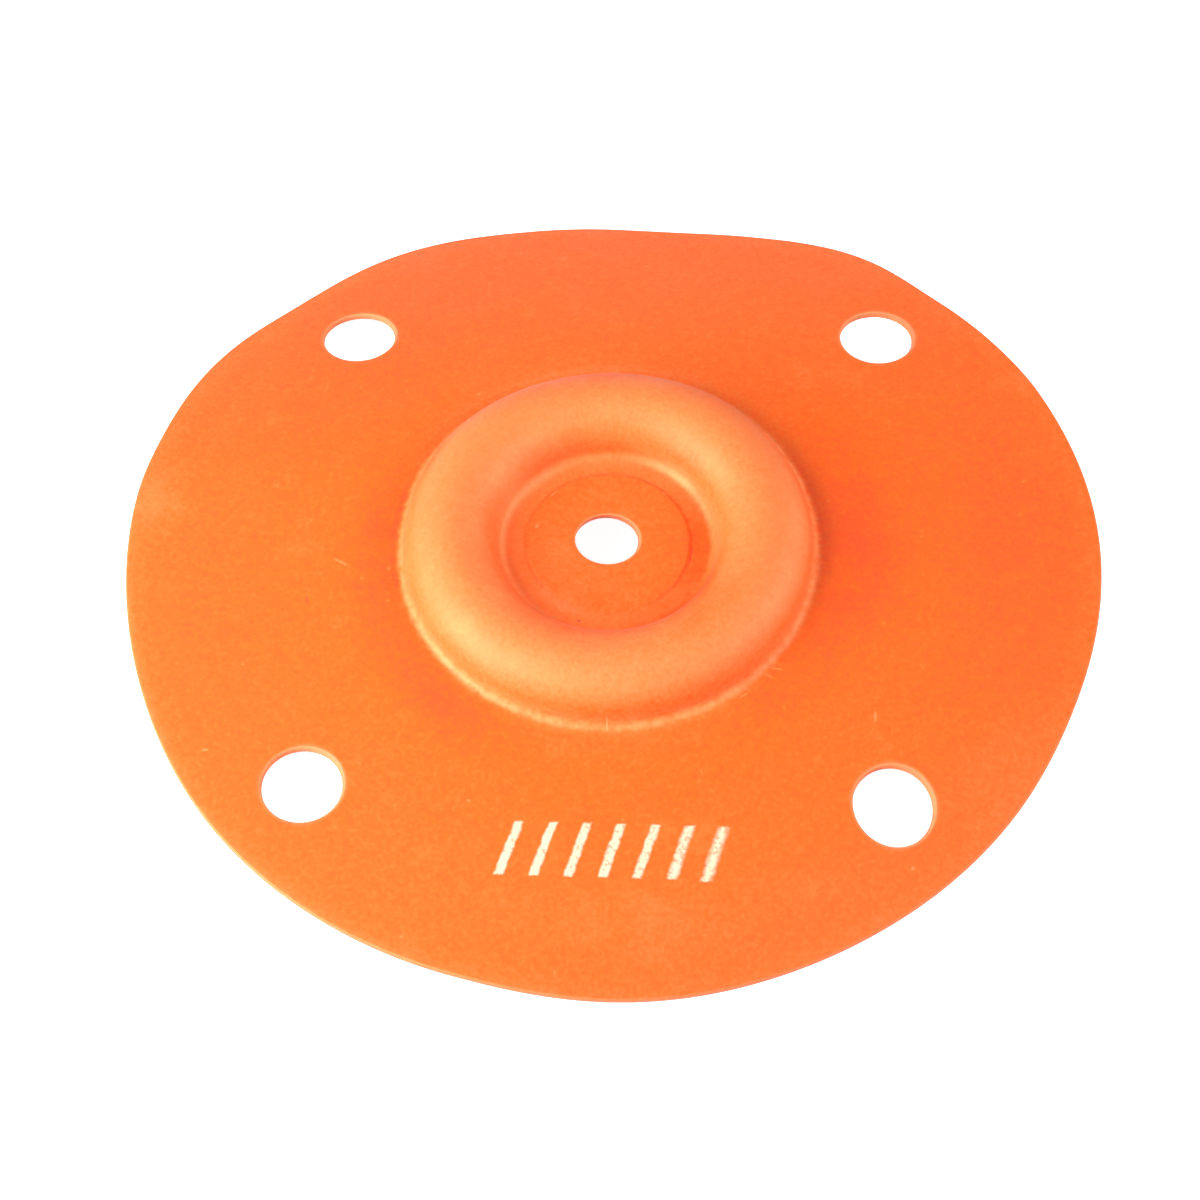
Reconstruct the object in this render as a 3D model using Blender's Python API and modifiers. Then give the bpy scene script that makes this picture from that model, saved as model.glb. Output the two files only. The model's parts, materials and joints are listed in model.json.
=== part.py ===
# Fuel system diaphragm, a single moulding of rubber-coated cloth.
#
# A thin round flange with four punched bolt holes carries one half-round convolution,
# the rolling bead that lets the middle travel. Inside the bead lies a thicker centre pad
# with a rod hole. The free sheet has taken a set: the rear of the flange droops, its
# front right rim turns down, and the cut rim is slightly out of round.
#
# The section is turned flat about Z, with its underside at z = 0, then punched, then bent,
# and last laid down as it comes to rest. +X is right, -Y is the front.

import math

import bmesh
import bpy
import numpy as np
from mathutils import Matrix, Vector

MM = 0.001

# Sheet and flange
SHEET_THICKNESS = 0.6 * MM
FLANGE_RADIUS = 36.5 * MM
EDGE_BREAK = 0.12 * MM

# Bolt holes, at the corners of a square, with a land between each hole and the rim
BOLT_HOLE_RADIUS = 2.95 * MM
BOLT_RIM_LAND = 3.85 * MM
BOLT_CIRCLE_RADIUS = FLANGE_RADIUS - BOLT_RIM_LAND - BOLT_HOLE_RADIUS

# Convolution: the middle of the bead, its crest above the flange face, its outer arc, its feet
BEAD_RADIUS = 11.85 * MM
BEAD_HEIGHT = 3.6 * MM
BEAD_ARC_RADIUS = 3.65 * MM
FOOT_FILLET = 0.7 * MM

# Centre pad
PAD_RADIUS = 6.25 * MM
PAD_THICKNESS = 0.8 * MM
PAD_STEP_ROUND = 0.08 * MM
ROD_HOLE_RADIUS = 2.45 * MM
ROD_HOLE_SHUT = 0.5 * MM

# Set of the free sheet: how far from the axis each bend starts, and its drop at the rim
REAR_DROOP_START = 9.4 * MM
REAR_DROOP = 6.3 * MM
FRONT_TURN_START = 25.8 * MM
FRONT_TURN_DOWN = 3.1 * MM
BENDS = (
    ("rear droop", 100.0, REAR_DROOP_START, REAR_DROOP),
    ("front right turn-down", -60.0, FRONT_TURN_START, FRONT_TURN_DOWN),
)
BEND_POWER = 1.5

# Cut rim out of round: direction and half-width in degrees, and how far the rim stands out
# as a share of the flange radius
RIM_ERRORS = (
    ("right bulge", 5.0, 34.5, 0.0193),
    ("rear right corner", 58.0, 14.5, 0.0212),
    ("rear flat", 83.5, 18.0, -0.0238),
    ("rear left corner", 119.0, 23.0, 0.0326),
    ("left shoulder", 149.5, 19.0, 0.0131),
    ("left flat", 198.0, 27.5, -0.0063),
    ("front flat", 276.5, 57.5, -0.0145),
    ("front right flat", 300.5, 34.5, -0.0143),
)
RIM_ERROR_REACH = 3.5 * MM

# Fineness of the facets
TURN_STEPS = 80
HOLE_STEPS = 36
FLANGE_ROWS = 7
FILLET_STEPS = 3
BEAD_STEPS = 12

# Coated cloth
SHEET_COLOUR = (0.99, 0.205, 0.032, 1.0)
SHEET_ROUGHNESS = 0.55


def clear_scene():
    for old in list(bpy.data.objects):
        bpy.data.objects.remove(old, do_unlink=True)


def new_collection(name):
    made = bpy.data.collections.new(name)
    bpy.context.scene.collection.children.link(made)
    return made


def coated_cloth():
    material = bpy.data.materials.new("orange coated cloth")
    material.use_nodes = True
    shader = material.node_tree.nodes["Principled BSDF"]
    shader.inputs["Base Color"].default_value = SHEET_COLOUR
    shader.inputs["Roughness"].default_value = SHEET_ROUGHNESS
    shader.inputs["Metallic"].default_value = 0.0
    return material


def arc(centre, radius, start, end, steps):
    """Points (r, z) along an arc about centre, both ends included, angles in radians."""
    turn = np.linspace(start, end, steps + 1)
    return [(centre[0] + radius * math.cos(a), centre[1] + radius * math.sin(a)) for a in turn]


def bead_line(arc_radius, foot_radius):
    """Inner foot, crest and outer foot of the convolution as one smooth line of three arcs.

    The two foot fillets touch the flange plane and the bead's own arc, so their centres lie
    where both distances hold. The face and the underside share these centres."""
    bead_centre = (BEAD_RADIUS, SHEET_THICKNESS + BEAD_HEIGHT - BEAD_ARC_RADIUS)
    foot_z = SHEET_THICKNESS + FOOT_FILLET
    rise = foot_z - bead_centre[1]
    reach = math.sqrt((BEAD_ARC_RADIUS + FOOT_FILLET) ** 2 - rise ** 2)
    lean = math.atan2(rise, reach)
    inner_centre = (BEAD_RADIUS - reach, foot_z)
    outer_centre = (BEAD_RADIUS + reach, foot_z)
    inner_foot = arc(inner_centre, foot_radius, -math.pi / 2, -lean, FILLET_STEPS)
    crest = arc(bead_centre, arc_radius, math.pi - lean, lean, BEAD_STEPS)
    outer_foot = arc(outer_centre, foot_radius, math.pi + lean, 1.5 * math.pi, FILLET_STEPS)
    return inner_foot + crest[1:-1] + outer_foot


def turned_section():
    """Closed outline (r, z) of the turned sheet, along the face, round the rim and back."""
    face_line = bead_line(BEAD_ARC_RADIUS, FOOT_FILLET)
    under_line = bead_line(BEAD_ARC_RADIUS - SHEET_THICKNESS, FOOT_FILLET + SHEET_THICKNESS)

    foot_r = face_line[-1][0]
    rows = np.linspace(foot_r, FLANGE_RADIUS - RIM_ERROR_REACH, FLANGE_ROWS)[1:]
    rows = list(rows) + [FLANGE_RADIUS - RIM_ERROR_REACH / 2]

    pad_edge = PAD_RADIUS - PAD_STEP_ROUND
    pad_foot = PAD_RADIUS + PAD_STEP_ROUND
    section = [
        (ROD_HOLE_RADIUS, PAD_THICKNESS - EDGE_BREAK),
        (ROD_HOLE_RADIUS + EDGE_BREAK, PAD_THICKNESS),
        (pad_edge, PAD_THICKNESS),
        (PAD_RADIUS, PAD_THICKNESS - PAD_STEP_ROUND),
        (PAD_RADIUS, SHEET_THICKNESS + PAD_STEP_ROUND / 2),
        (pad_foot, SHEET_THICKNESS),
    ]
    section += face_line
    section += [(r, SHEET_THICKNESS) for r in rows]
    section += [
        (FLANGE_RADIUS - EDGE_BREAK, SHEET_THICKNESS),
        (FLANGE_RADIUS, SHEET_THICKNESS - EDGE_BREAK),
        (FLANGE_RADIUS, EDGE_BREAK),
        (FLANGE_RADIUS - EDGE_BREAK, 0.0),
    ]
    section += [(r, 0.0) for r in reversed(rows)]
    section += list(reversed(under_line))
    section += [
        (ROD_HOLE_RADIUS + EDGE_BREAK, 0.0),
        (ROD_HOLE_RADIUS, EDGE_BREAK),
    ]
    return section


def turn(name, outline, steps, closed, collection):
    """Object made by turning an (r, z) outline a full round about Z."""
    edges = [(i, i + 1) for i in range(len(outline) - 1)]
    if closed:
        edges.append((len(outline) - 1, 0))
    mesh = bpy.data.meshes.new(name)
    mesh.from_pydata([(r, 0.0, z) for r, z in outline], edges, [])
    turned = bpy.data.objects.new(name, mesh)
    collection.objects.link(turned)
    screw = turned.modifiers.new("turn", "SCREW")
    screw.axis = "Z"
    screw.angle = 2 * math.pi
    screw.steps = steps
    screw.render_steps = steps
    screw.use_merge_vertices = True
    screw.merge_threshold = 0.00001
    return turned


def bolt_hole_punch(name, x, y, collection):
    """Cutter of a bolt hole, flared at both faces of the sheet to break the cut edges."""
    r = BOLT_HOLE_RADIUS
    clear = 4 * EDGE_BREAK
    outline = [
        (0.0, SHEET_THICKNESS + clear),
        (r + EDGE_BREAK + clear, SHEET_THICKNESS + clear),
        (r, SHEET_THICKNESS - EDGE_BREAK),
        (r, EDGE_BREAK),
        (r + EDGE_BREAK + clear, -clear),
        (0.0, -clear),
    ]
    punch = turn(name, outline, HOLE_STEPS, False, collection)
    punch.location = (x, y, 0.0)
    punch.hide_render = True
    punch.display_type = "WIRE"
    return punch


def evaluated_copy(obj):
    """New triangulated mesh of an object with its modifiers worked in."""
    bpy.context.view_layer.update()
    depsgraph = bpy.context.evaluated_depsgraph_get()
    mesh = bpy.data.meshes.new_from_object(obj.evaluated_get(depsgraph))
    shape = bmesh.new()
    shape.from_mesh(mesh)
    bmesh.ops.triangulate(shape, faces=shape.faces[:])
    shape.to_mesh(mesh)
    shape.free()
    return mesh


def read_points(mesh):
    flat = np.empty(len(mesh.vertices) * 3, dtype=np.float32)
    mesh.vertices.foreach_get("co", flat)
    return flat.reshape(-1, 3).astype(np.float64)


def write_points(mesh, points):
    mesh.vertices.foreach_set("co", points.astype(np.float32).ravel())
    mesh.update()


def rim_error(direction):
    """How far the cut rim stands out in a direction: a sum of raised cosine humps."""
    total = np.zeros_like(direction)
    for _, middle, half_width, height in RIM_ERRORS:
        off = (np.degrees(direction) - middle) % 360.0
        off = np.minimum(off, 360.0 - off)
        hump = np.cos(0.5 * math.pi * off / half_width) ** 2
        total += np.where(off < half_width, height * hump, 0.0)
    return FLANGE_RADIUS * total


def shut_rod_hole(points):
    """Closes the rod hole a little from the front, where the soft pad has crept inwards."""
    x, y, z = points.T
    clear = PAD_RADIUS - 2 * PAD_STEP_ROUND
    share = np.clip((clear - np.hypot(x, y)) / (clear - ROD_HOLE_RADIUS - EDGE_BREAK), 0.0, 1.0)
    y = y + share * ROD_HOLE_SHUT * 0.5 * (1.0 - y / ROD_HOLE_RADIUS)
    return np.column_stack((x, y, z))


def out_of_round(points):
    """Moves the last few millimetres of the flange in or out with the cut rim."""
    x, y, z = points.T
    radius = np.hypot(x, y)
    direction = np.arctan2(y, x)
    share = np.clip((radius - FLANGE_RADIUS + RIM_ERROR_REACH) / RIM_ERROR_REACH, 0.0, 1.0)
    moved = radius + share * rim_error(direction)
    return np.column_stack((moved * np.cos(direction), moved * np.sin(direction), z))


def take_set(points):
    """Bends the sheet downwards about straight chords, more steeply towards the rim."""
    x, y, z = points.T
    for _, direction, start, drop in BENDS:
        a = math.radians(direction)
        along = x * math.cos(a) + y * math.sin(a)
        share = np.clip((along - start) / (FLANGE_RADIUS - start), 0.0, None)
        z = z - drop * share ** BEND_POWER
    return np.column_stack((x, y, z))


def rest_matrix(mesh):
    """Turn that lays the piece on its stable lower hull face, as it comes to rest.

    The face chosen is the one under the centre of mass, among those that look down."""
    shape = bmesh.new()
    shape.from_mesh(mesh)
    volume_centre = Vector((0.0, 0.0, 0.0))
    volume = 0.0
    for face in shape.faces:
        a, b, c = (v.co for v in face.verts)
        part = a.dot(b.cross(c)) / 6.0
        volume += part
        volume_centre += part * (a + b + c) / 4.0
    volume_centre /= volume
    bmesh.ops.convex_hull(shape, input=shape.verts[:], use_existing_faces=False)
    hull_faces = [f for f in shape.faces if all(not e.is_wire for e in f.edges)]
    down = Vector((0.0, 0.0, -1.0))
    best = None
    for face in hull_faces:
        normal = face.normal.copy()
        if (face.calc_center_median() - volume_centre).dot(normal) < 0.0:
            normal.negate()
        foot = volume_centre + normal * (face.verts[0].co - volume_centre).dot(normal)
        lowest = max((v.co - foot).dot(normal) for v in shape.verts)
        if normal.dot(down) < 0.8 or lowest > 0.01 * MM:
            continue
        if bmesh.geometry.intersect_face_point(face, foot):
            if best is None or normal.dot(down) > best.dot(down):
                best = normal
    shape.free()
    if best is None:
        return Matrix.Identity(4)
    return best.rotation_difference(down).to_matrix().to_4x4()


def seat_on_floor(points):
    """Puts the middle of the footprint at x = y = 0 and the lowest point at z = 0."""
    low = points.min(axis=0)
    high = points.max(axis=0)
    return points - np.array([(low[0] + high[0]) / 2, (low[1] + high[1]) / 2, low[2]])


def make_diaphragm(collection, punches):
    blank = turn("blank", turned_section(), TURN_STEPS, True, collection)
    half = BOLT_CIRCLE_RADIUS / math.sqrt(2.0)
    corners = (("front_left", -half, -half), ("front_right", half, -half),
               ("rear_right", half, half), ("rear_left", -half, half))
    for corner, x, y in corners:
        cut = blank.modifiers.new(corner, "BOOLEAN")
        cut.operation = "DIFFERENCE"
        cut.solver = "EXACT"
        cut.object = bolt_hole_punch("punch_" + corner, x, y, punches)

    mesh = evaluated_copy(blank)
    bpy.data.objects.remove(blank, do_unlink=True)
    mesh.name = "diaphragm"
    write_points(mesh, take_set(out_of_round(shut_rod_hole(read_points(mesh)))))

    laid = np.array(rest_matrix(mesh).to_3x3())
    write_points(mesh, seat_on_floor(read_points(mesh) @ laid.T))
    mesh.shade_smooth()
    mesh.set_sharp_from_angle(angle=math.radians(40.0))
    mesh.materials.clear()
    mesh.materials.append(coated_cloth())
    diaphragm = bpy.data.objects.new("diaphragm", mesh)
    collection.objects.link(diaphragm)
    return diaphragm


clear_scene()
part = new_collection("fuel_diaphragm")
cutters = new_collection("cutters")
make_diaphragm(part, cutters)
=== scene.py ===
"""Fuel system diaphragm: one moulding of orange rubber-coated cloth, lying on a pale table."""

import json
import math

import bpy
import numpy as np
from mathutils import Matrix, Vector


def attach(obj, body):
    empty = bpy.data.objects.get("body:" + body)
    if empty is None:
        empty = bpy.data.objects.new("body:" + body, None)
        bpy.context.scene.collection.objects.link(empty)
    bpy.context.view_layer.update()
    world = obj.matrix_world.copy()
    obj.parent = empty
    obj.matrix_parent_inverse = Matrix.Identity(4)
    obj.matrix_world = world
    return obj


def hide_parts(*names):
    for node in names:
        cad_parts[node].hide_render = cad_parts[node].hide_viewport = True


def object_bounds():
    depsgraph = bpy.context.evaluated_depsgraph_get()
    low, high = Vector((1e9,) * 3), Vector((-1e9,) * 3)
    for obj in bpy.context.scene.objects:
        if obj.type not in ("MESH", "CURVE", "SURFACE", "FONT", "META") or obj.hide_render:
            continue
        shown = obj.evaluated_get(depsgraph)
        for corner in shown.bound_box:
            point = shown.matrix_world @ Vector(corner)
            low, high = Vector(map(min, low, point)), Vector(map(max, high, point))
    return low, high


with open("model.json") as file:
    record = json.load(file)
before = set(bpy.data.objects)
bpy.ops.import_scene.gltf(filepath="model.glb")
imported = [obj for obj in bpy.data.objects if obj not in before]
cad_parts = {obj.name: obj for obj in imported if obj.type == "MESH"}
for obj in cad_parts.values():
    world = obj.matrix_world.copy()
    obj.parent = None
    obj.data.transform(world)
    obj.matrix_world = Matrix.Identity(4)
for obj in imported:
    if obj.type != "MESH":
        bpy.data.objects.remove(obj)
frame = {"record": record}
cad_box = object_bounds()

# How the diaphragm lies
#
# The moulding is worked out flat, with its axis on Z and its underside at z = 0, and is then laid
# as it rests on its bent rim. The record's mount on the pad's upper face gives that lie: it sits
# 4.35 mm from the axis, on the flat part of the sheet.

MM = 0.001
PAD_THICKNESS = 0.8 * MM
pad_mount = next(m for m in frame["record"]["mounts"] if m["name"] == "pad_top")
pad_place = np.array(pad_mount["pos_m"])
pad_normal = np.array(pad_mount["axis"]) / np.linalg.norm(pad_mount["axis"])
pad_place_when_flat = np.array([4.35 * MM, 0.0, PAD_THICKNESS])


def lay_turn(normal):
    """Shortest turn that takes +Z to the normal: I + [v] + [v]^2 / (1 + c), with v = z x n, c = z . n."""
    nx, ny, nz = normal
    v = np.array([[0.0, 0.0, nx], [0.0, 0.0, ny], [-nx, -ny, 0.0]])
    return np.eye(3) + v + v @ v / (1.0 + nz)


LAY = lay_turn(pad_normal)


def lay_down(points):
    """Flat-frame points (n, 3) carried to where the resting diaphragm has them."""
    return (points - pad_place_when_flat) @ LAY.T + pad_place


# Camera
#
# Seen from in front and well above, a long lens, fitted to the rim, the holes and the bead of the
# photograph. Its place is given in the flat frame of the moulding and carried with the lie.

LENS_PIXELS = 2228.0
FRAME_PIXELS = 1200.0
LOOK_AT = np.array([-0.431, -4.681, 0.0]) * MM
DISTANCE = 166.71 * MM
ELEVATION, AZIMUTH, ROLL = math.radians(58.91), math.radians(2.75), math.radians(-0.79)

level = math.cos(ELEVATION)
back = np.array([math.sin(AZIMUTH) * level, -math.cos(AZIMUTH) * level, math.sin(ELEVATION)])
side = np.cross(-back, [0.0, 0.0, 1.0])
side /= np.linalg.norm(side)
head = np.cross(side, -back)
rolled_side = math.cos(ROLL) * side + math.sin(ROLL) * head
rolled_head = -math.sin(ROLL) * side + math.cos(ROLL) * head

camera_data = bpy.data.cameras.new("camera")
camera_data.sensor_fit = "HORIZONTAL"
camera_data.sensor_width = 36.0
camera_data.lens = camera_data.sensor_width * LENS_PIXELS / FRAME_PIXELS
camera_data.clip_start = 0.01
camera_data.clip_end = 10.0


def add_object(name, data):
    """A new object that holds the mesh, camera or lamp, in the scene."""
    made = bpy.data.objects.new(name, data)
    bpy.context.scene.collection.objects.link(made)
    return made


def stand(thing, axes, place):
    """Puts a camera or lamp at a place, with its own X, Y and Z along the columns of axes."""
    pose = np.eye(4)
    pose[:3, :3] = axes
    pose[:3, 3] = place
    thing.matrix_world = Matrix(pose.tolist())


camera = add_object("camera", camera_data)
eye = lay_down((LOOK_AT + DISTANCE * back)[None, :])[0]
stand(camera, LAY @ np.column_stack((rolled_side, rolled_head, back)), eye)
bpy.context.scene.camera = camera

# Diaphragm
#
# One moulding of thin cloth coated with orange rubber: a flat flange, a half-round convolution and
# a thicker centre pad. The holes are punched and the rim is trimmed afterwards, so their edges are
# plain walls with slightly drawn-over lips. The free sheet has taken a set.

SHEET = 0.6 * MM
FLANGE_RADIUS = 36.5 * MM
EDGE_LIP = 0.15 * MM
BOLT_HOLE_RADIUS = 2.95 * MM
BOLT_HOLE_MARGIN = 3.85 * MM
BOLT_CIRCLE_RADIUS = FLANGE_RADIUS - BOLT_HOLE_MARGIN - BOLT_HOLE_RADIUS
BOLT_CORNERS = (225.0, 315.0, 45.0, 135.0)
BEAD_RADIUS = 11.85 * MM
BEAD_HEIGHT = 3.6 * MM
BEAD_ARC = 3.65 * MM
FOOT_FILLET = 0.7 * MM
PAD_RADIUS = 6.25 * MM
PAD_STEP_ROUND = 0.3 * MM
ROD_HOLE_RADIUS = 2.45 * MM
ROD_HOLE_SHUT = 0.5 * MM

# Bends of the free sheet: direction in degrees, distance of the bend line from the axis, drop at the rim
BENDS = ((100.0, 9.4 * MM, 6.3 * MM), (-60.0, 25.8 * MM, 3.1 * MM))
BEND_POWER = 1.5
# Humps of the rim, the rounded result of a fit to its outline in the photograph: middle and
# half-width in degrees, height as a share of the flange's radius
RIM_ERRORS = ((5.0, 34.5, 0.0193), (58.0, 14.5, 0.0212), (83.5, 18.0, -0.0238), (119.0, 23.0, 0.0326),
              (149.5, 19.0, 0.0131), (198.0, 27.5, -0.0063), (276.5, 57.5, -0.0145), (300.5, 34.5, -0.0143))
RIM_ERROR_REACH = 3.5 * MM

# The mesh has this many steps round the axis, and this many to the block that holds a bolt hole
TURNS = 384
BLOCK_TURNS = 20


def arc_rows(r, z, radius, start, end, count):
    """Rows (r, z) along an arc: centre + radius * (cos a, sin a), a from start to end in degrees."""
    a = np.radians(np.linspace(start, end, count))
    return np.column_stack((r + radius * np.cos(a), z + radius * np.sin(a)))


def level_rows(radii, z):
    """Rows (r, z) at the radii given, all at one height."""
    return np.column_stack((radii, np.full(len(radii), z)))


def bead_rows(arc_radius, foot_radius):
    """Inner foot, crest and outer foot of the convolution: three arcs that touch one another.

    The foot centres stand one foot radius over the sheet and one arc plus one foot radius from the
    bead's own centre. Face and underside share the centres, so the wall is even."""
    centre_z = SHEET + BEAD_HEIGHT - BEAD_ARC
    foot_z = SHEET + FOOT_FILLET
    rise = foot_z - centre_z
    reach = math.sqrt((BEAD_ARC + FOOT_FILLET) ** 2 - rise ** 2)
    lean = math.degrees(math.atan2(rise, reach))
    inner = arc_rows(BEAD_RADIUS - reach, foot_z, foot_radius, -90.0, -lean, 9)
    crest = arc_rows(BEAD_RADIUS, centre_z, arc_radius, 180.0 - lean, lean, 33)[1:-1]
    outer = arc_rows(BEAD_RADIUS + reach, foot_z, foot_radius, 180.0 + lean, 270.0, 9)
    return np.vstack((inner, crest, outer))


face_bead = bead_rows(BEAD_ARC, FOOT_FILLET)
under_bead = bead_rows(BEAD_ARC - SHEET, FOOT_FILLET + SHEET)
inner_foot_r, outer_foot_r = face_bead[0, 0], face_bead[-1, 0]
# The pad's edge is a shallow S: two arcs that meet halfway up the step, each turned by this angle
step_turn = math.acos(1.0 - (PAD_THICKNESS - SHEET) / (2.0 * PAD_STEP_ROUND))
step_reach = PAD_STEP_ROUND * math.sin(step_turn)

block_half = 0.5 * BLOCK_TURNS * 2.0 * math.pi / TURNS * BOLT_CIRCLE_RADIUS
block_r = np.linspace(BOLT_CIRCLE_RADIUS - block_half, BOLT_CIRCLE_RADIUS + block_half, BLOCK_TURNS - 1)
plain_r = np.linspace(outer_foot_r, block_r[0], 20)[1:-1]
rim_r = np.linspace(block_r[-1], FLANGE_RADIUS - EDGE_LIP, 7)[1:-1]
flange_r = np.concatenate((plain_r, block_r, rim_r))
pad_r = np.linspace(ROD_HOLE_RADIUS + EDGE_LIP, PAD_RADIUS - step_reach, 9)[1:-1]
band_r = np.linspace(PAD_RADIUS + step_reach, inner_foot_r, 5)[1:-1]
under_pad_r = np.linspace(ROD_HOLE_RADIUS + EDGE_LIP, inner_foot_r, 12)[1:-1]

step_degrees = math.degrees(step_turn)
pad_crown = arc_rows(PAD_RADIUS - step_reach, PAD_THICKNESS - PAD_STEP_ROUND, PAD_STEP_ROUND,
                     90.0, 90.0 - step_degrees, 6)
pad_hollow = arc_rows(PAD_RADIUS + step_reach, SHEET + PAD_STEP_ROUND, PAD_STEP_ROUND,
                      270.0 - step_degrees, 270.0, 6)[1:]
rod_lip_r, rim_lip_r = ROD_HOLE_RADIUS + EDGE_LIP, FLANGE_RADIUS - EDGE_LIP

# The outline from the rod hole over the face, round the rim and back along the underside. Each
# stretch comes with its share of cut edge, and with 1 for the face or 0 for the underside.
lip_starts, lip_ends = np.array([1.0, 1.0, 1.0, 1.0, 0.0]), np.array([0.0, 1.0, 1.0, 1.0, 1.0])
stretches = (
    (arc_rows(rod_lip_r, PAD_THICKNESS - EDGE_LIP, EDGE_LIP, 180.0, 90.0, 5), lip_starts, 1),
    (level_rows(pad_r, PAD_THICKNESS), 0, 1),
    (pad_crown, 0, 1),
    (pad_hollow, 0, 1),
    (level_rows(band_r, SHEET), 0, 1),
    (face_bead, 0, 1),
    (level_rows(flange_r, SHEET), 0, 1),
    (arc_rows(rim_lip_r, SHEET - EDGE_LIP, EDGE_LIP, 90.0, 0.0, 5), lip_ends, 1),
    (arc_rows(rim_lip_r, EDGE_LIP, EDGE_LIP, 0.0, -90.0, 5), lip_starts, 0),
    (level_rows(flange_r[::-1], 0.0), 0, 0),
    (under_bead[::-1], 0, 0),
    (level_rows(under_pad_r[::-1], 0.0), 0, 0),
    (arc_rows(rod_lip_r, EDGE_LIP, EDGE_LIP, 270.0, 180.0, 5), lip_ends, 0),
)
section = np.vstack([line for line, _, _ in stretches])
cut_rows = np.concatenate([cut * np.ones(len(line)) for line, cut, _ in stretches])
face_rows = np.concatenate([on_face * np.ones(len(line)) for line, _, on_face in stretches])
rows = len(section)
face_first = int(np.argmin(np.abs(section[:, 0] - block_r[0]) + np.abs(section[:, 1] - SHEET)))
under_first = int(np.argmin(np.abs(section[:, 0] - block_r[-1]) + np.abs(section[:, 1])))

turn = 2.0 * math.pi * np.arange(TURNS) / TURNS
grid = np.empty((rows, TURNS, 3))
grid[:, :, 0] = section[:, :1] * np.cos(turn)
grid[:, :, 1] = section[:, :1] * np.sin(turn)
grid[:, :, 2] = section[:, 1:]
row_of, turn_of = np.meshgrid(np.arange(rows), np.arange(TURNS), indexing="ij")
next_row, next_turn = (row_of + 1) % rows, (turn_of + 1) % TURNS
quads = np.stack((row_of * TURNS + turn_of, next_row * TURNS + turn_of,
                  next_row * TURNS + next_turn, row_of * TURNS + next_turn), axis=-1)

# Bolt holes
#
# Four round holes punched on a square through the finished flange. Around each, the turned grid
# leaves out a block, and a sleeve of rings fills it: from the block's edge on the face in to the
# lip, down the wall, and out to the block's edge on the underside.

RING_POWER = 1.4
LIP_SHARE_OF_CUT = 0.35
high = len(block_r) - 1
keep = np.ones((rows, TURNS), dtype=bool)
points, faces = [grid.reshape(-1, 3)], []
cut_share, face_share = [np.repeat(cut_rows, TURNS)], [np.repeat(face_rows, TURNS)]
made = rows * TURNS


def round_block(low_row, step, turns):
    """Grid indices once round the block: outwards, across, inwards and back."""
    along = low_row + step * np.arange(high + 1)
    return np.concatenate((along[:-1] * TURNS + turns[0], along[-1] * TURNS + turns[:-1],
                           along[:0:-1] * TURNS + turns[-1], along[0] * TURNS + turns[:0:-1]))


for corner in BOLT_CORNERS:
    first_turn = int(round(corner / 360.0 * TURNS)) - BLOCK_TURNS // 2
    turns = (first_turn + np.arange(BLOCK_TURNS + 1)) % TURNS
    keep[np.ix_(np.arange(face_first, face_first + high), turns[:-1])] = False
    keep[np.ix_(np.arange(under_first, under_first + high), turns[:-1])] = False
    face_loop = round_block(face_first, 1, turns)
    under_loop = round_block(under_first + high, -1, turns)
    a = math.radians(corner)
    middle = BOLT_CIRCLE_RADIUS * np.array([math.cos(a), math.sin(a)])
    spoke = points[0][face_loop, :2] - middle
    reach = np.linalg.norm(spoke, axis=1)
    spoke = spoke / reach[:, None]
    lip_r = BOLT_HOLE_RADIUS + EDGE_LIP
    # Rings between block and lip: even shares of the way from the lip to the block's edge, to the
    # power of 1.4 so that the rings lie closer at the lip.
    share = (np.linspace(1.0, 0.0, 7)[1:-1] ** RING_POWER)[:, None]
    flat = lip_r + share * (reach[None, :] - lip_r)
    lip = np.radians(np.linspace(0.0, 90.0, 5))[:, None] * np.ones(len(reach))
    down = lip_r - EDGE_LIP * np.sin(lip)
    ring_r = np.vstack((flat, down, down[::-1], flat[::-1]))
    ring_z = np.vstack((np.full_like(flat, SHEET), SHEET - EDGE_LIP * (1.0 - np.cos(lip)),
                        (EDGE_LIP * (1.0 - np.cos(lip)))[::-1], np.zeros_like(flat)))
    count = len(ring_r)
    sleeve = np.empty((count, len(reach), 3))
    sleeve[:, :, :2] = middle + ring_r[:, :, None] * spoke[None]
    sleeve[:, :, 2] = ring_z
    own = made + np.arange(count * len(reach)).reshape(count, -1)
    rings = np.vstack((face_loop[None], own, under_loop[None]))
    after = np.roll(rings, -1, axis=1)
    faces.append(np.stack((rings[:-1], after[:-1], after[1:], rings[1:]), axis=-1).reshape(-1, 4))
    points.append(sleeve.reshape(-1, 3))
    in_wall = np.zeros(count)
    in_wall[len(flat) + 1:count - len(flat) - 1] = 1.0
    in_wall[len(flat)] = LIP_SHARE_OF_CUT
    cut_share.append(np.repeat(in_wall, len(reach)))
    face_share.append(np.repeat((np.arange(count) < count // 2).astype(float), len(reach)))
    made += sleeve.shape[0] * sleeve.shape[1]

faces.insert(0, quads[keep])
flat_points = np.vstack(points)
faces = np.vstack(faces)


def shut_rod_hole(flat):
    """The soft pad has crept in on the rod hole from the front.

    y grows by share * shut / 2 * (1 - y / hole radius), the share going from 1 at the hole to 0 at
    the pad's edge."""
    clear = PAD_RADIUS - step_reach
    radius = np.hypot(flat[:, 0], flat[:, 1])
    share = np.clip((clear - radius) / (clear - ROD_HOLE_RADIUS - EDGE_LIP), 0.0, 1.0)
    crept = flat[:, 1] + share * ROD_HOLE_SHUT * 0.5 * (1.0 - flat[:, 1] / ROD_HOLE_RADIUS)
    return np.column_stack((flat[:, 0], crept, flat[:, 2]))


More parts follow.
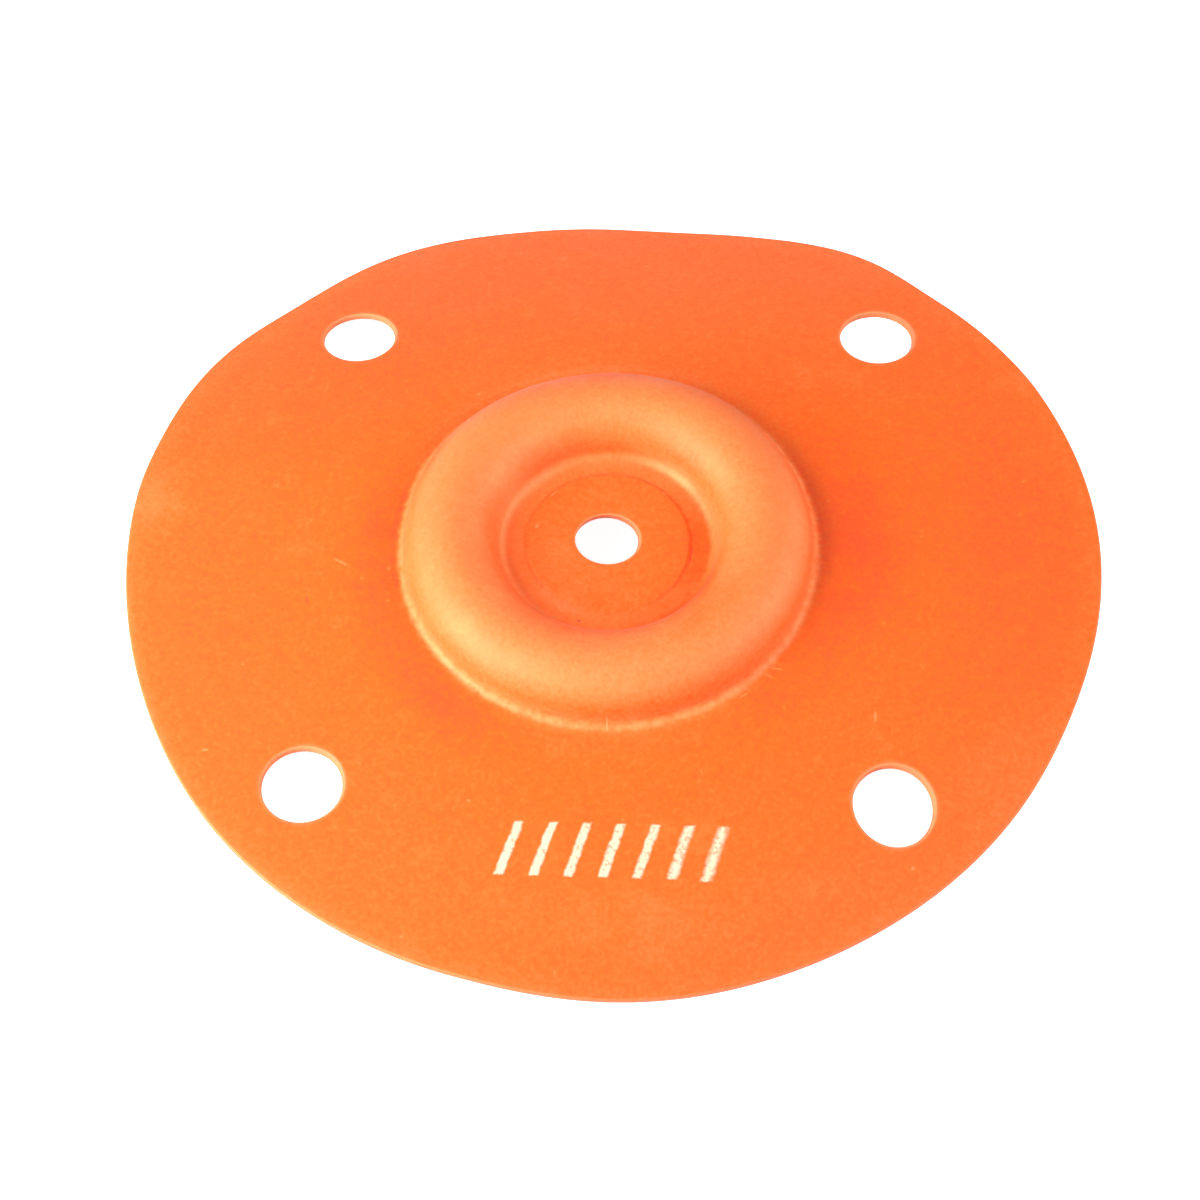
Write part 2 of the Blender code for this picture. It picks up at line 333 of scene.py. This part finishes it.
# What the punch did to a hole's lower edge: how far it is drawn in all round, and how far it is
# carried aside in x and y. It fades over this reach from the hole.
ROD_HOLE_DRAG = (0.05 * MM, -0.17 * MM, 0.2 * MM)
BOLT_HOLE_DRAG = (0.11 * MM, -0.1 * MM, 0.0)
DRAG_REACH = 0.8 * MM


def drag_lips(flat):
    """The punch drags the coat along through each hole, so the wall leans towards its lower edge.

    A point moves by near * low * (drawn in along its spoke + carried aside), with near going from 1
    at the hole to 0 at the reach, and low from 0 on the face to 1 on the underside."""
    holes = [(0.0, 0.0, ROD_HOLE_RADIUS, PAD_THICKNESS, ROD_HOLE_DRAG)]
    for corner in BOLT_CORNERS:
        a = math.radians(corner)
        x, y = BOLT_CIRCLE_RADIUS * math.cos(a), BOLT_CIRCLE_RADIUS * math.sin(a)
        holes.append((x, y, BOLT_HOLE_RADIUS, SHEET, BOLT_HOLE_DRAG))
    moved = flat.copy()
    for x, y, hole_radius, depth, (drawn_in, aside_x, aside_y) in holes:
        spoke = flat[:, :2] - (x, y)
        reach = np.hypot(spoke[:, 0], spoke[:, 1])
        near = np.clip(1.0 - (reach - hole_radius) / DRAG_REACH, 0.0, 1.0)
        low = np.clip(1.0 - flat[:, 2] / depth, 0.0, 1.0)
        inward = -drawn_in * spoke / np.maximum(reach, hole_radius)[:, None]
        moved[:, :2] += (near * low)[:, None] * (inward + (aside_x, aside_y))
    return moved


def cut_out_of_round(flat):
    """The rim was trimmed out of round: its last 3.5 mm moves in or out by squared cosine humps."""
    radius, direction = np.hypot(flat[:, 0], flat[:, 1]), np.arctan2(flat[:, 1], flat[:, 0])
    error = np.zeros(len(flat))
    for middle, half_width, height in RIM_ERRORS:
        off = (np.degrees(direction) - middle) % 360.0
        off = np.minimum(off, 360.0 - off)
        error += np.where(off < half_width, height * np.cos(0.5 * math.pi * off / half_width) ** 2, 0.0)
    share = np.clip((radius - FLANGE_RADIUS + RIM_ERROR_REACH) / RIM_ERROR_REACH, 0.0, 1.0)
    moved = radius + share * FLANGE_RADIUS * error
    return np.column_stack((moved * np.cos(direction), moved * np.sin(direction), flat[:, 2]))


def take_set(flat):
    """Each bend lowers the sheet by drop * s^1.5, s going from 0 at the bend line to 1 at the rim."""
    height = flat[:, 2].copy()
    for direction, start, drop in BENDS:
        a = math.radians(direction)
        along = flat[:, 0] * math.cos(a) + flat[:, 1] * math.sin(a)
        height -= drop * np.clip((along - start) / (FLANGE_RADIUS - start), 0.0, None) ** BEND_POWER
    return np.column_stack((flat[:, :2], height))


# Places that look paler in the photograph than an even coat does, or deeper where the strength is
# negative. They were set until the brightness agreed, and hold painted light and shade besides the
# coat's own uneven tone: painted shadow of the bead on the flange beside it, painted shade in the band
# and pad on the right, painted highlights where the bead's walls and crest face the lamps on the left.
# Each row: azimuth and its reach in degrees, radius and its reach in millimetres, strength. Each is a
# bell, strength * exp(-(degrees off / reach)^2 - (millimetres off / reach)^2).
COAT_TONE_AND_PAINTED_LIGHT = (
    # Painted light on the pad at the front left, painted shade on its right
    (225.0, 50.0, 4.5, 1.8, 0.035),      # pad, front left
    (0.0, 40.0, 4.5, 1.8, -0.03),        # pad, right
    # Painted light in the band at the front left, painted shade in it on the right
    (240.0, 30.0, 6.3, 0.6, 0.06),       # band, front left
    (0.0, 27.0, 7.0, 0.6, -0.15),        # band, right
    (0.0, 20.0, 7.65, 0.25, -0.12),      # inner foot, right
    (0.0, 20.0, 8.35, 0.25, 0.06),
    # Painted highlight where the inner wall at the rear right faces the lamps on the left
    (45.0, 24.0, 7.95, 0.32, 0.33),      # inner foot, rear right
    (45.0, 24.0, 8.55, 0.3, -0.07),
    (90.0, 16.0, 8.2, 0.25, -0.06),      # inner foot, rear
    (135.0, 20.0, 7.65, 0.25, 0.1),      # inner foot, rear left
    (135.0, 20.0, 8.25, 0.25, -0.06),
    (165.0, 28.0, 8.0, 0.3, 0.18),       # inner foot, left
    (310.0, 30.0, 8.3, 1.0, -0.2),       # inner foot, front right
    (315.0, 24.0, 7.4, 0.3, 0.08),
    (145.0, 26.0, 9.0, 0.9, 0.17),       # inner wall, rear left
    (180.0, 20.0, 10.0, 0.7, 0.05),      # inner wall, left
    # Painted highlight on the inner wall at the rear right, facing the lamps on the left
    (42.0, 22.0, 9.7, 0.9, 0.13),        # inner wall, right
    (255.0, 34.0, 9.4, 1.2, -0.09),      # inner wall, front
    (315.0, 22.0, 10.6, 1.3, -0.1),      # inner wall, front right
    # Painted highlight on the crest at the front left, facing the lamps
    (230.0, 27.0, 13.9, 1.0, 0.11),      # crest, front left
    # Painted light on the bead's outer wall on the right
    (350.0, 30.0, 14.2, 0.9, 0.14),      # outer wall, right
    (42.0, 20.0, 14.1, 0.8, -0.05),      # outer wall, rear right
    (95.0, 38.0, 14.4, 1.6, -0.15),      # outer wall, rear
    (165.0, 22.0, 14.8, 0.5, -0.05),     # outer wall, left
    (182.0, 24.0, 15.25, 0.3, 0.12),     # outer foot, left
    (182.0, 24.0, 15.95, 0.3, -0.24),
    (0.0, 20.0, 15.0, 0.3, 0.05),        # outer foot, right
    (14.0, 24.0, 15.85, 0.35, -0.11),
    (312.0, 16.0, 15.05, 0.25, 0.04),    # outer foot, front right
    (318.0, 20.0, 16.0, 0.25, -0.03),
    # Painted light that lifts the bead's shadow on the flange behind it
    (100.0, 40.0, 17.0, 0.5, 0.06),      # flange behind the bead
    (275.0, 24.0, 15.6, 0.6, -0.05),     # outer foot, front
    (115.0, 40.0, 15.7, 0.6, -0.09),     # outer foot, rear
    (225.0, 16.0, 15.7, 0.2, 0.1),       # outer foot, front left
    # Painted shadow of the bead on the flange beside its outer foot, these four rows
    (182.0, 24.0, 17.6, 1.8, -0.065),    # flange beside the bead, left
    (226.0, 22.0, 18.0, 2.0, -0.08),     # flange beside the bead, front left
    (320.0, 22.0, 17.6, 2.0, -0.05),     # flange beside the bead, front right
    (0.0, 26.0, 18.5, 4.0, -0.08),       # flange beside the bead, right
    (2.0, 30.0, 31.0, 6.0, -0.05),       # flange, far right
    (135.0, 30.0, 26.0, 7.0, -0.02),     # flange, rear left
    (195.0, 26.0, 31.0, 5.0, -0.02),     # flange, far left
    (175.0, 4.5, 34.8, 1.5, 0.07),       # left rim
    (277.0, 15.0, 31.0, 2.2, 0.03),      # front of the flange
    (329.0, 7.0, 33.5, 2.4, 0.03),       # front right of the flange
    (215.0, 30.0, 36.3, 0.35, 0.06),     # rim, front left
)
flat_radius = np.hypot(flat_points[:, 0], flat_points[:, 1]) / MM
flat_azimuth = np.degrees(np.arctan2(flat_points[:, 1], flat_points[:, 0]))
coat_tone_and_painted_light = np.zeros(len(flat_points))
for azimuth, azimuth_reach, r, r_reach, strength in COAT_TONE_AND_PAINTED_LIGHT:
    off = (flat_azimuth - azimuth + 180.0) % 360.0 - 180.0
    coat_tone_and_painted_light += strength * np.exp(-(off / azimuth_reach) ** 2 - ((flat_radius - r) / r_reach) ** 2)

laid = lay_down(take_set(cut_out_of_round(drag_lips(shut_rod_hole(flat_points)))))
used = np.unique(faces)
renumber = np.full(len(laid), -1)
renumber[used] = np.arange(len(used))
faces = renumber[faces]

mesh = bpy.data.meshes.new("moulded_diaphragm")
mesh.vertices.add(len(used))
mesh.vertices.foreach_set("co", laid[used].astype(np.float32).ravel())
mesh.loops.add(faces.size)
mesh.polygons.add(len(faces))
mesh.loops.foreach_set("vertex_index", faces.ravel())
mesh.polygons.foreach_set("loop_start", np.arange(0, faces.size, 4))
mesh.polygons.foreach_set("loop_total", np.full(len(faces), 4))
mesh.update(calc_edges=True)
mesh.validate()
mesh.shade_smooth()
# The map shows the flat sheet from above, 100 mm to its side, with the axis in the middle
MAP_WIDTH = 100.0
sheet_map = mesh.uv_layers.new(name="sheet")
map_points = (flat_points[used][:, :2] / (MAP_WIDTH * MM) + 0.5)[faces.ravel()]
sheet_map.data.foreach_set("uv", map_points.astype(np.float32).ravel())
for name, shares in (("cut_edge", cut_share), ("face_side", face_share), ("coat_tone_and_painted_light", [coat_tone_and_painted_light])):
    carried = mesh.attributes.new(name, "FLOAT", "POINT")
    carried.data.foreach_set("value", np.concatenate(shares)[used].astype(np.float32))

# Coated cloth
#
# Orange rubber skimmed over a fine weave. The coat is dense and semi-matt on the flat parts, paler
# and chalky over the bead, probably where the mould stretched it, palest along the two feet, and
# thin and fibrous on the cut edges.

coat = bpy.data.materials.new("orange_coated_cloth")
coat.use_nodes = True
shader = coat.node_tree.nodes["Principled BSDF"]


def node(kind, **settings):
    """A new node of the coat's material, with these settings."""
    made = coat.node_tree.nodes.new(kind)
    for setting, value in settings.items():
        setattr(made, setting, value)
    return made


def feed(socket, value):
    """Links a socket, or sets it where the value is a plain number."""
    if isinstance(value, bpy.types.NodeSocket):
        coat.node_tree.links.new(value, socket)
    else:
        socket.default_value = value


def calc(operation, *values):
    """One step of arithmetic on numbers or sockets."""
    made = node("ShaderNodeMath", operation=operation)
    for socket, value in zip(made.inputs, values):
        feed(socket, value)
    return made.outputs[0]


def vector_calc(operation, *vectors, scale=None, output="Vector"):
    """One step of arithmetic on vectors, times the scale where one is given."""
    made = node("ShaderNodeVectorMath", operation=operation)
    for socket, value in zip(made.inputs, vectors):
        feed(socket, value)
    if scale is not None:
        made.inputs["Scale"].default_value = scale
    return made.outputs[output]


def carried_value(name):
    """A value that the mesh carries at its points."""
    return node("ShaderNodeAttribute", attribute_name=name).outputs["Fac"]


def by_radius(*stops):
    """Value that changes along the radius: stops are (millimetres from the axis, value)."""
    ramp = node("ShaderNodeValToRGB")
    elements = ramp.color_ramp.elements
    for index, (r, value) in enumerate(stops):
        element = elements[index] if index < 2 else elements.new(r / RAMP_REACH)
        element.position = r / RAMP_REACH
        element.color = (value, value, value, 1.0)
    feed(ramp.inputs[0], radius_share)
    return ramp.outputs[0]


def between(value, low, high, to_low=0.0, to_high=1.0):
    """A smooth step, from to_low where the value is low or less to to_high where it is high or more."""
    made = node("ShaderNodeMapRange", interpolation_type="SMOOTHSTEP")
    for socket, number in zip(made.inputs, (value, low, high, to_low, to_high)):
        feed(socket, number)
    return made.outputs[0]


def cloud(scale, detail=2.0, rough=0.5, vector=None):
    """Soft noise from 0 to 1 about a mean of 0.5, with scale lumps to each unit of what it reads."""
    made = node("ShaderNodeTexNoise")
    feed(made.inputs["Vector"], place if vector is None else vector)
    made.inputs["Scale"].default_value = scale
    made.inputs["Detail"].default_value = detail
    made.inputs["Roughness"].default_value = rough
    return made.outputs[0]


def tint(base, colour, share):
    """The base colour mixed with another by its share."""
    made = node("ShaderNodeMix", data_type="RGBA")
    feed(made.inputs[0], share)
    feed(made.inputs[6], base)
    feed(made.inputs[7], colour)
    return made.outputs[2]


# Places on the flat sheet in millimetres from the axis, read back from the piece's own map
RAMP_REACH = 40.0
place = node("ShaderNodeTexCoord").outputs["Object"]
centred = vector_calc("SUBTRACT", node("ShaderNodeUVMap", uv_map="sheet").outputs[0], (0.5, 0.5, 0.0))
plan = vector_calc("SCALE", centred, scale=MAP_WIDTH)
radius = vector_calc("LENGTH", plan, output="Value")
radius_share = calc("DIVIDE", radius, RAMP_REACH)
plan_parts = node("ShaderNodeSeparateXYZ")
feed(plan_parts.inputs[0], plan)
sheet_x, sheet_y = plan_parts.outputs[0], plan_parts.outputs[1]

orange = (0.99, 0.15, 0.021, 1.0)
painted_shade_orange = (0.985, 0.147, 0.0155, 1.0)
dense_coat_and_painted_shade = (0.98, 0.11, 0.025, 1.0)
chalk_and_painted_light = (1.0, 0.66, 0.285, 1.0)
bare_fibre = (1.0, 0.41, 0.2, 1.0)
dust_and_shade_brown = (0.58, 0.055, 0.055, 1.0)
ink = (1.0, 0.78, 0.55, 1.0)

# Chalkiness of the coat along the radius: pad, band, inner foot, bead, outer foot, flange
chalkiness = by_radius((0.0, 0.035), (4.4, 0.025), (6.1, 0.01), (6.5, 0.065), (7.4, 0.1),
                       (7.85, 0.16), (8.3, 0.09), (8.8, 0.09), (9.5, 0.175), (10.2, 0.18),
                       (11.5, 0.165), (13.2, 0.18), (14.2, 0.175), (14.75, 0.11), (15.2, 0.035),
                       (15.5, 0.1), (15.78, 0.2), (15.95, 0.16), (16.15, 0.06), (16.7, 0.015),
                       (20.0, 0.0), (34.5, 0.005), (36.3, 0.04))
grain = cloud(2900.0, 1.0, 0.7)
smudge = cloud(230.0, 2.0, 0.6)
speckle = cloud(1400.0, 1.0, 0.7)
MOTTLE_MEAN, MOTTLE_STRENGTH = 0.75, 0.17
mottle = calc("SUBTRACT", calc("ADD", grain, calc("MULTIPLY", speckle, 0.5)), MOTTLE_MEAN)
fine_mottle = calc("MULTIPLY", mottle, MOTTLE_STRENGTH)
# The listed places of the coat's own tone and of painted light and shade, broken up by the smudge noise
coat_tone_and_painted_light_share = calc("MULTIPLY", carried_value("coat_tone_and_painted_light"), between(smudge, 0.3, 0.6, 0.6, 1.3))
foot_line = by_radius((15.3, 0.0), (15.75, 0.13), (15.95, 0.1), (16.3, 0.0))
broken_line = calc("MULTIPLY", foot_line, between(speckle, 0.35, 0.6, 0.3, 1.2))
pale = calc("ADD", calc("ADD", chalkiness, fine_mottle), calc("ADD", coat_tone_and_painted_light_share, broken_line))
rubbed, specks = between(smudge, 0.56, 0.76, 0.0, 0.04), between(speckle, 0.76, 0.82, 0.0, 0.1)
pale = calc("ADD", pale, calc("ADD", rubbed, specks))

# Short fibres that stand out of the outer foot: noise that is stretched along the radius, as it is
# read at the direction from the axis, times 75, plus 0.9 of the radius on Z. They show at the sides
# and less towards the rear.
FIBRES_AROUND, FIBRES_ALONG = 75.0, 0.9
around = vector_calc("SCALE", vector_calc("NORMALIZE", plan), scale=FIBRES_AROUND)
along = node("ShaderNodeCombineXYZ")
feed(along.inputs[2], calc("MULTIPLY", radius, FIBRES_ALONG))
streaks = cloud(1.0, 0.0, 0.5, vector_calc("ADD", around, along.outputs[0]))
fibres = between(streaks, 0.5, 0.78)
sideways = calc("MULTIPLY", between(calc("ABSOLUTE", sheet_x), 8.0, 12.0),
                between(sheet_y, -2.0, 4.0, 1.0, 0.3))
fringe = calc("MULTIPLY", calc("MULTIPLY", fibres, sideways),
              by_radius((15.5, 0.0), (16.1, 0.16), (16.8, 0.07), (17.8, 0.0)))
pale = calc("ADD", pale, calc("MULTIPLY", fringe, between(smudge, 0.47, 0.6, 0.05, 1.2)))


def fleck(x, y, direction, half_length, half_width):
    """1 on a small oval at (x, y) mm of the sheet, its length at the direction in degrees."""
    oval = node("ShaderNodeMapping", vector_type="TEXTURE")
    feed(oval.inputs["Vector"], plan)
    oval.inputs["Location"].default_value = (x, y, 0.0)
    oval.inputs["Rotation"].default_value = (0.0, 0.0, math.radians(direction))
    oval.inputs["Scale"].default_value = (half_length, half_width, 1.0)
    out = vector_calc("LENGTH", oval.outputs[0], output="Value")
    return between(out, 0.6, 1.1, 1.0, 0.0)


# Lint, loose fibres at the outer foot and flecks lying on the face: place and half sizes in
# millimetres, with the direction in degrees between them
PALE_FLECKS = (
    (-20.1, -2.3, -28.0, 0.75, 0.13), (19.8, -14.2, 88.0, 0.5, 0.14), (22.4, -25.4, 20.0, 0.2, 0.16),
    (-28.3, -18.5, 10.0, 0.3, 0.14), (-5.43, 1.2, 70.0, 0.22, 0.13), (4.15, 4.6, -10.0, 0.2, 0.15),
    (-4.3, 4.25, 45.0, 0.5, 0.08), (12.7, -10.5, -12.0, 0.5, 0.07), (12.1, -11.1, -25.0, 0.45, 0.07),
    (10.3, -12.8, 35.0, 0.5, 0.07), (-16.4, -2.8, 60.0, 0.17, 0.14), (0.48, -15.7, 95.0, 0.42, 0.08),
    (-9.1, -21.9, 0.0, 0.18, 0.14))
PALE_FLECK_STRENGTH = 0.2
for row in PALE_FLECKS:
    pale = calc("ADD", pale, calc("MULTIPLY", fleck(*row), PALE_FLECK_STRENGTH))

# Two dark specks, and painted shade along the pad's edge on the right
dark = calc("ADD", fleck(-22.26, -5.74, 95.0, 0.36, 0.1), fleck(-1.9, -6.91, 0.0, 0.17, 0.14))
dark = calc("ADD", dark, fleck(6.3, -0.9, 83.0, 1.1, 0.07))

# Dust held in the outer foot on the right, with the bead's painted shadow in it: darkest against the
# bead and frayed outwards
dust_and_painted_shadow = calc("MULTIPLY", by_radius((15.85, 0.0), (16.2, 0.6), (16.8, 0.36), (17.5, 0.0)),
            between(calc("ADD", speckle, fibres), 0.3, 0.9, 0.45, 1.0))
on_the_right = calc("MULTIPLY", between(sheet_x, 12.5, 15.5), between(sheet_y, -6.0, -1.0))
dark = calc("ADD", dark, calc("MULTIPLY", dust_and_painted_shadow, on_the_right))

# The colours are laid over one another: a deeper orange of painted shade on pad, band and inner
# flange, a chalky tint where the coat is pale and where light is painted, the dense coat and painted
# shade where the paleness falls below nothing, a brown for specks, dirt at the foot and painted shade,
# and bare fibre where cut
DENSE_AND_SHADE_GAIN = -10.0
# Painted shade: a deeper, redder orange in the well inside the bead and in a ring round its outer foot,
# strongest 19 mm from the axis
painted_shade_share = by_radius((0.0, 0.2), (6.0, 0.2), (7.2, 0.4), (7.8, 0.0), (16.1, 0.0), (16.6, 0.5), (19.0, 1.0),
                 (22.0, 0.8), (30.0, 0.2), (33.0, 0.0))
colour = tint(orange, painted_shade_orange, painted_shade_share)
for shade, share in ((chalk_and_painted_light, pale), (dense_coat_and_painted_shade, calc("MULTIPLY", pale, DENSE_AND_SHADE_GAIN))):
    held = node("ShaderNodeClamp")
    feed(held.inputs[0], share)
    colour = tint(colour, shade, held.outputs[0])
colour = tint(colour, dust_and_shade_brown, calc("MULTIPLY", dark, 0.5))
fibre_share = by_radius((0.0, 0.55), (34.0, 0.55), (35.5, 0.25))
colour = tint(colour, bare_fibre, calc("MULTIPLY", carried_value("cut_edge"), fibre_share))

# Seven plain slanted bars of cream ink on the face, pressed on by hand: soft at their edges, with
# the coat's grain showing through, and blurred towards the right end. Sizes in millimetres, the
# bar's half-width as a share of the pitch.
BAR_PITCH, BAR_HALF_WIDTH, BAR_SLANT = 2.4, 0.19, 0.3
MARK_X, MARK_Y, MARK_HALF_LENGTH, MARK_HALF_HEIGHT = 1.15, -25.4, 8.4, 2.2
END_BLUR = 0.1
mark_x = calc("SUBTRACT", sheet_x, MARK_X)
mark_y = calc("SUBTRACT", sheet_y, MARK_Y)
slanted = calc("SUBTRACT", mark_x, calc("MULTIPLY", mark_y, BAR_SLANT))
pitch_share = calc("FRACT", calc("DIVIDE", calc("ADD", slanted, MARK_HALF_LENGTH), BAR_PITCH))
off_middle = calc("ABSOLUTE", calc("SUBTRACT", pitch_share, 0.5))
off_bar = calc("ADD", off_middle, calc("MULTIPLY", speckle, 0.12))
blur = between(slanted, 1.0, 9.0, 0.05, 0.12)
bar = between(off_bar, calc("SUBTRACT", BAR_HALF_WIDTH, blur), calc("ADD", BAR_HALF_WIDTH, blur),
              1.0, 0.0)
inside_x = between(calc("ABSOLUTE", slanted), MARK_HALF_LENGTH - END_BLUR, MARK_HALF_LENGTH + END_BLUR,
                   1.0, 0.0)
off_line = calc("ADD", calc("ABSOLUTE", mark_y), calc("MULTIPLY", speckle, 0.3))
inside_y = between(off_line, MARK_HALF_HEIGHT - END_BLUR, MARK_HALF_HEIGHT + END_BLUR, 1.0, 0.0)
ink_wear = between(calc("ADD", grain, calc("MULTIPLY", slanted, -0.006)), 0.3, 0.52, 0.5, 0.95)
stamped = calc("MULTIPLY", calc("MULTIPLY", bar, inside_x), calc("MULTIPLY", inside_y, ink_wear))
colour = tint(colour, ink, calc("MULTIPLY", stamped, carried_value("face_side")))
feed(shader.inputs["Base Color"], colour)

# Semi-matt, with a pinkish bloom at grazing angles, and light that spreads a little under the skin
feed(shader.inputs["Roughness"], between(smudge, 0.3, 0.7, 0.46, 0.56))
shader.inputs["Specular IOR Level"].default_value = 0.13
shader.inputs["Sheen Weight"].default_value = 0.32
shader.inputs["Sheen Roughness"].default_value = 0.4
shader.inputs["Sheen Tint"].default_value = (1.0, 0.36, 0.3, 1.0)
shader.subsurface_method = "BURLEY"
shader.inputs["Subsurface Weight"].default_value = 0.5
shader.inputs["Subsurface Radius"].default_value = (1.0, 0.14, 0.05)
shader.inputs["Subsurface Scale"].default_value = 0.0016

# The weave is just felt through the coat, as sine waves across and along the sheet, over orange-peel
THREADS_PER_MM = 1.1
WEAVE_HEIGHT = 0.06
turns_per_mm = 2.0 * math.pi * THREADS_PER_MM
threads = [calc("SINE", calc("MULTIPLY", way, turns_per_mm)) for way in (sheet_x, sheet_y)]
weave = calc("MULTIPLY", calc("MULTIPLY", threads[0], threads[1]), WEAVE_HEIGHT)
peel = node("ShaderNodeBump")
peel.inputs["Strength"].default_value = 0.35
peel.inputs["Distance"].default_value = 0.00003
feed(peel.inputs["Height"], calc("ADD", cloud(3400.0, 0.0), weave))
feed(shader.inputs["Normal"], peel.outputs[0])

mesh.materials.append(coat)
diaphragm = add_object("moulded_diaphragm", mesh)
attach(diaphragm, "root")
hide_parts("diaphragm")

# Table
#
# A plain sheet of matt white paper, wide enough to reach past the view. It shows white to the
# camera, in gloss and through glass, and takes the part's soft shadow.

TABLE_REACH = 1.5
TABLE_GLOW = 0.96
floor_z = float(cad_box[0][2])
table_ways = ((-1.0, -1.0), (1.0, -1.0), (1.0, 1.0), (-1.0, 1.0))
table_corners = [(x * TABLE_REACH, y * TABLE_REACH, floor_z) for x, y in table_ways]
table_mesh = bpy.data.meshes.new("table")
table_mesh.from_pydata(table_corners, [], [(0, 1, 2, 3)])
table = add_object("table", table_mesh)
paper = bpy.data.materials.new("white_table")
paper.use_nodes = True
matt = paper.node_tree.nodes["Principled BSDF"]
matt.inputs["Base Color"].default_value = (0.8, 0.8, 0.8, 1.0)
matt.inputs["Roughness"].default_value = 0.9
matt.inputs["Specular IOR Level"].default_value = 0.1
matt.inputs["Emission Color"].default_value = (1.0, 1.0, 1.0, 1.0)


def white_in_view(tree):
    """1 for camera, glossy and transmission rays and 0 for all others: the largest of the three."""
    path = tree.nodes.new("ShaderNodeLightPath")
    seen = path.outputs["Is Camera Ray"]
    for ray in ("Is Glossy Ray", "Is Transmission Ray"):
        larger = tree.nodes.new("ShaderNodeMath")
        larger.operation = "MAXIMUM"
        tree.links.new(seen, larger.inputs[0])
        tree.links.new(path.outputs[ray], larger.inputs[1])
        seen = larger.outputs[0]
    return seen


glow = paper.node_tree.nodes.new("ShaderNodeMath")
glow.operation = "MULTIPLY"
glow.inputs[1].default_value = TABLE_GLOW
paper.node_tree.links.new(white_in_view(paper.node_tree), glow.inputs[0])
paper.node_tree.links.new(glow.outputs[0], matt.inputs["Emission Strength"])
table_mesh.materials.append(paper)

# Light
#
# Two soft boxes on the left, near enough that the left of the flange is the brighter side, bring
# out the bead. Two larger ones further off on the right open its shadow, and a low one behind
# lights the drooping rear. The surround is dim for the part, and white where it is in view.

SURROUND = 0.115
world = bpy.data.worlds.new("surround")
bpy.context.scene.world = world
world.use_nodes = True
background = world.node_tree.nodes["Background"]
background.inputs["Color"].default_value = (1.0, 1.0, 1.0, 1.0)
world_glow = world.node_tree.nodes.new("ShaderNodeMapRange")
world_glow.inputs["To Min"].default_value = SURROUND
world_glow.inputs["To Max"].default_value = 1.0
world.node_tree.links.new(white_in_view(world.node_tree), world_glow.inputs["Value"])
world.node_tree.links.new(world_glow.outputs[0], background.inputs["Strength"])


def soft_box(name, distance, azimuth, elevation, width, height, watts):
    """Rectangular lamp facing the part, at a distance from it, an azimuth and elevation in degrees."""
    a, e = math.radians(azimuth), math.radians(elevation)
    away = np.array([math.cos(a) * math.cos(e), math.sin(a) * math.cos(e), math.sin(e)])
    lamp_data = bpy.data.lights.new(name, "AREA")
    lamp_data.shape = "RECTANGLE"
    lamp_data.size, lamp_data.size_y = width, height
    lamp_data.energy = watts
    right = np.cross([0.0, 0.0, 1.0], away)
    right /= np.linalg.norm(right)
    axes = np.column_stack((right, np.cross(away, right), away))
    stand(add_object(name, lamp_data), axes, distance * away)


soft_box("left_low_box", 0.2, 207.0, 15.0, 0.12, 0.08, 0.45)
soft_box("left_high_box", 0.2, 205.0, 42.0, 0.1, 0.08, 0.29)
soft_box("right_high_fill", 0.6, 350.0, 40.0, 0.36, 0.24, 2.3)
soft_box("right_low_fill", 0.6, 0.0, 13.0, 0.24, 0.24, 0.56)
soft_box("rear_fill", 0.6, 95.0, 17.0, 0.3, 0.24, 0.32)

bpy.context.scene.view_settings.view_transform = "Standard"
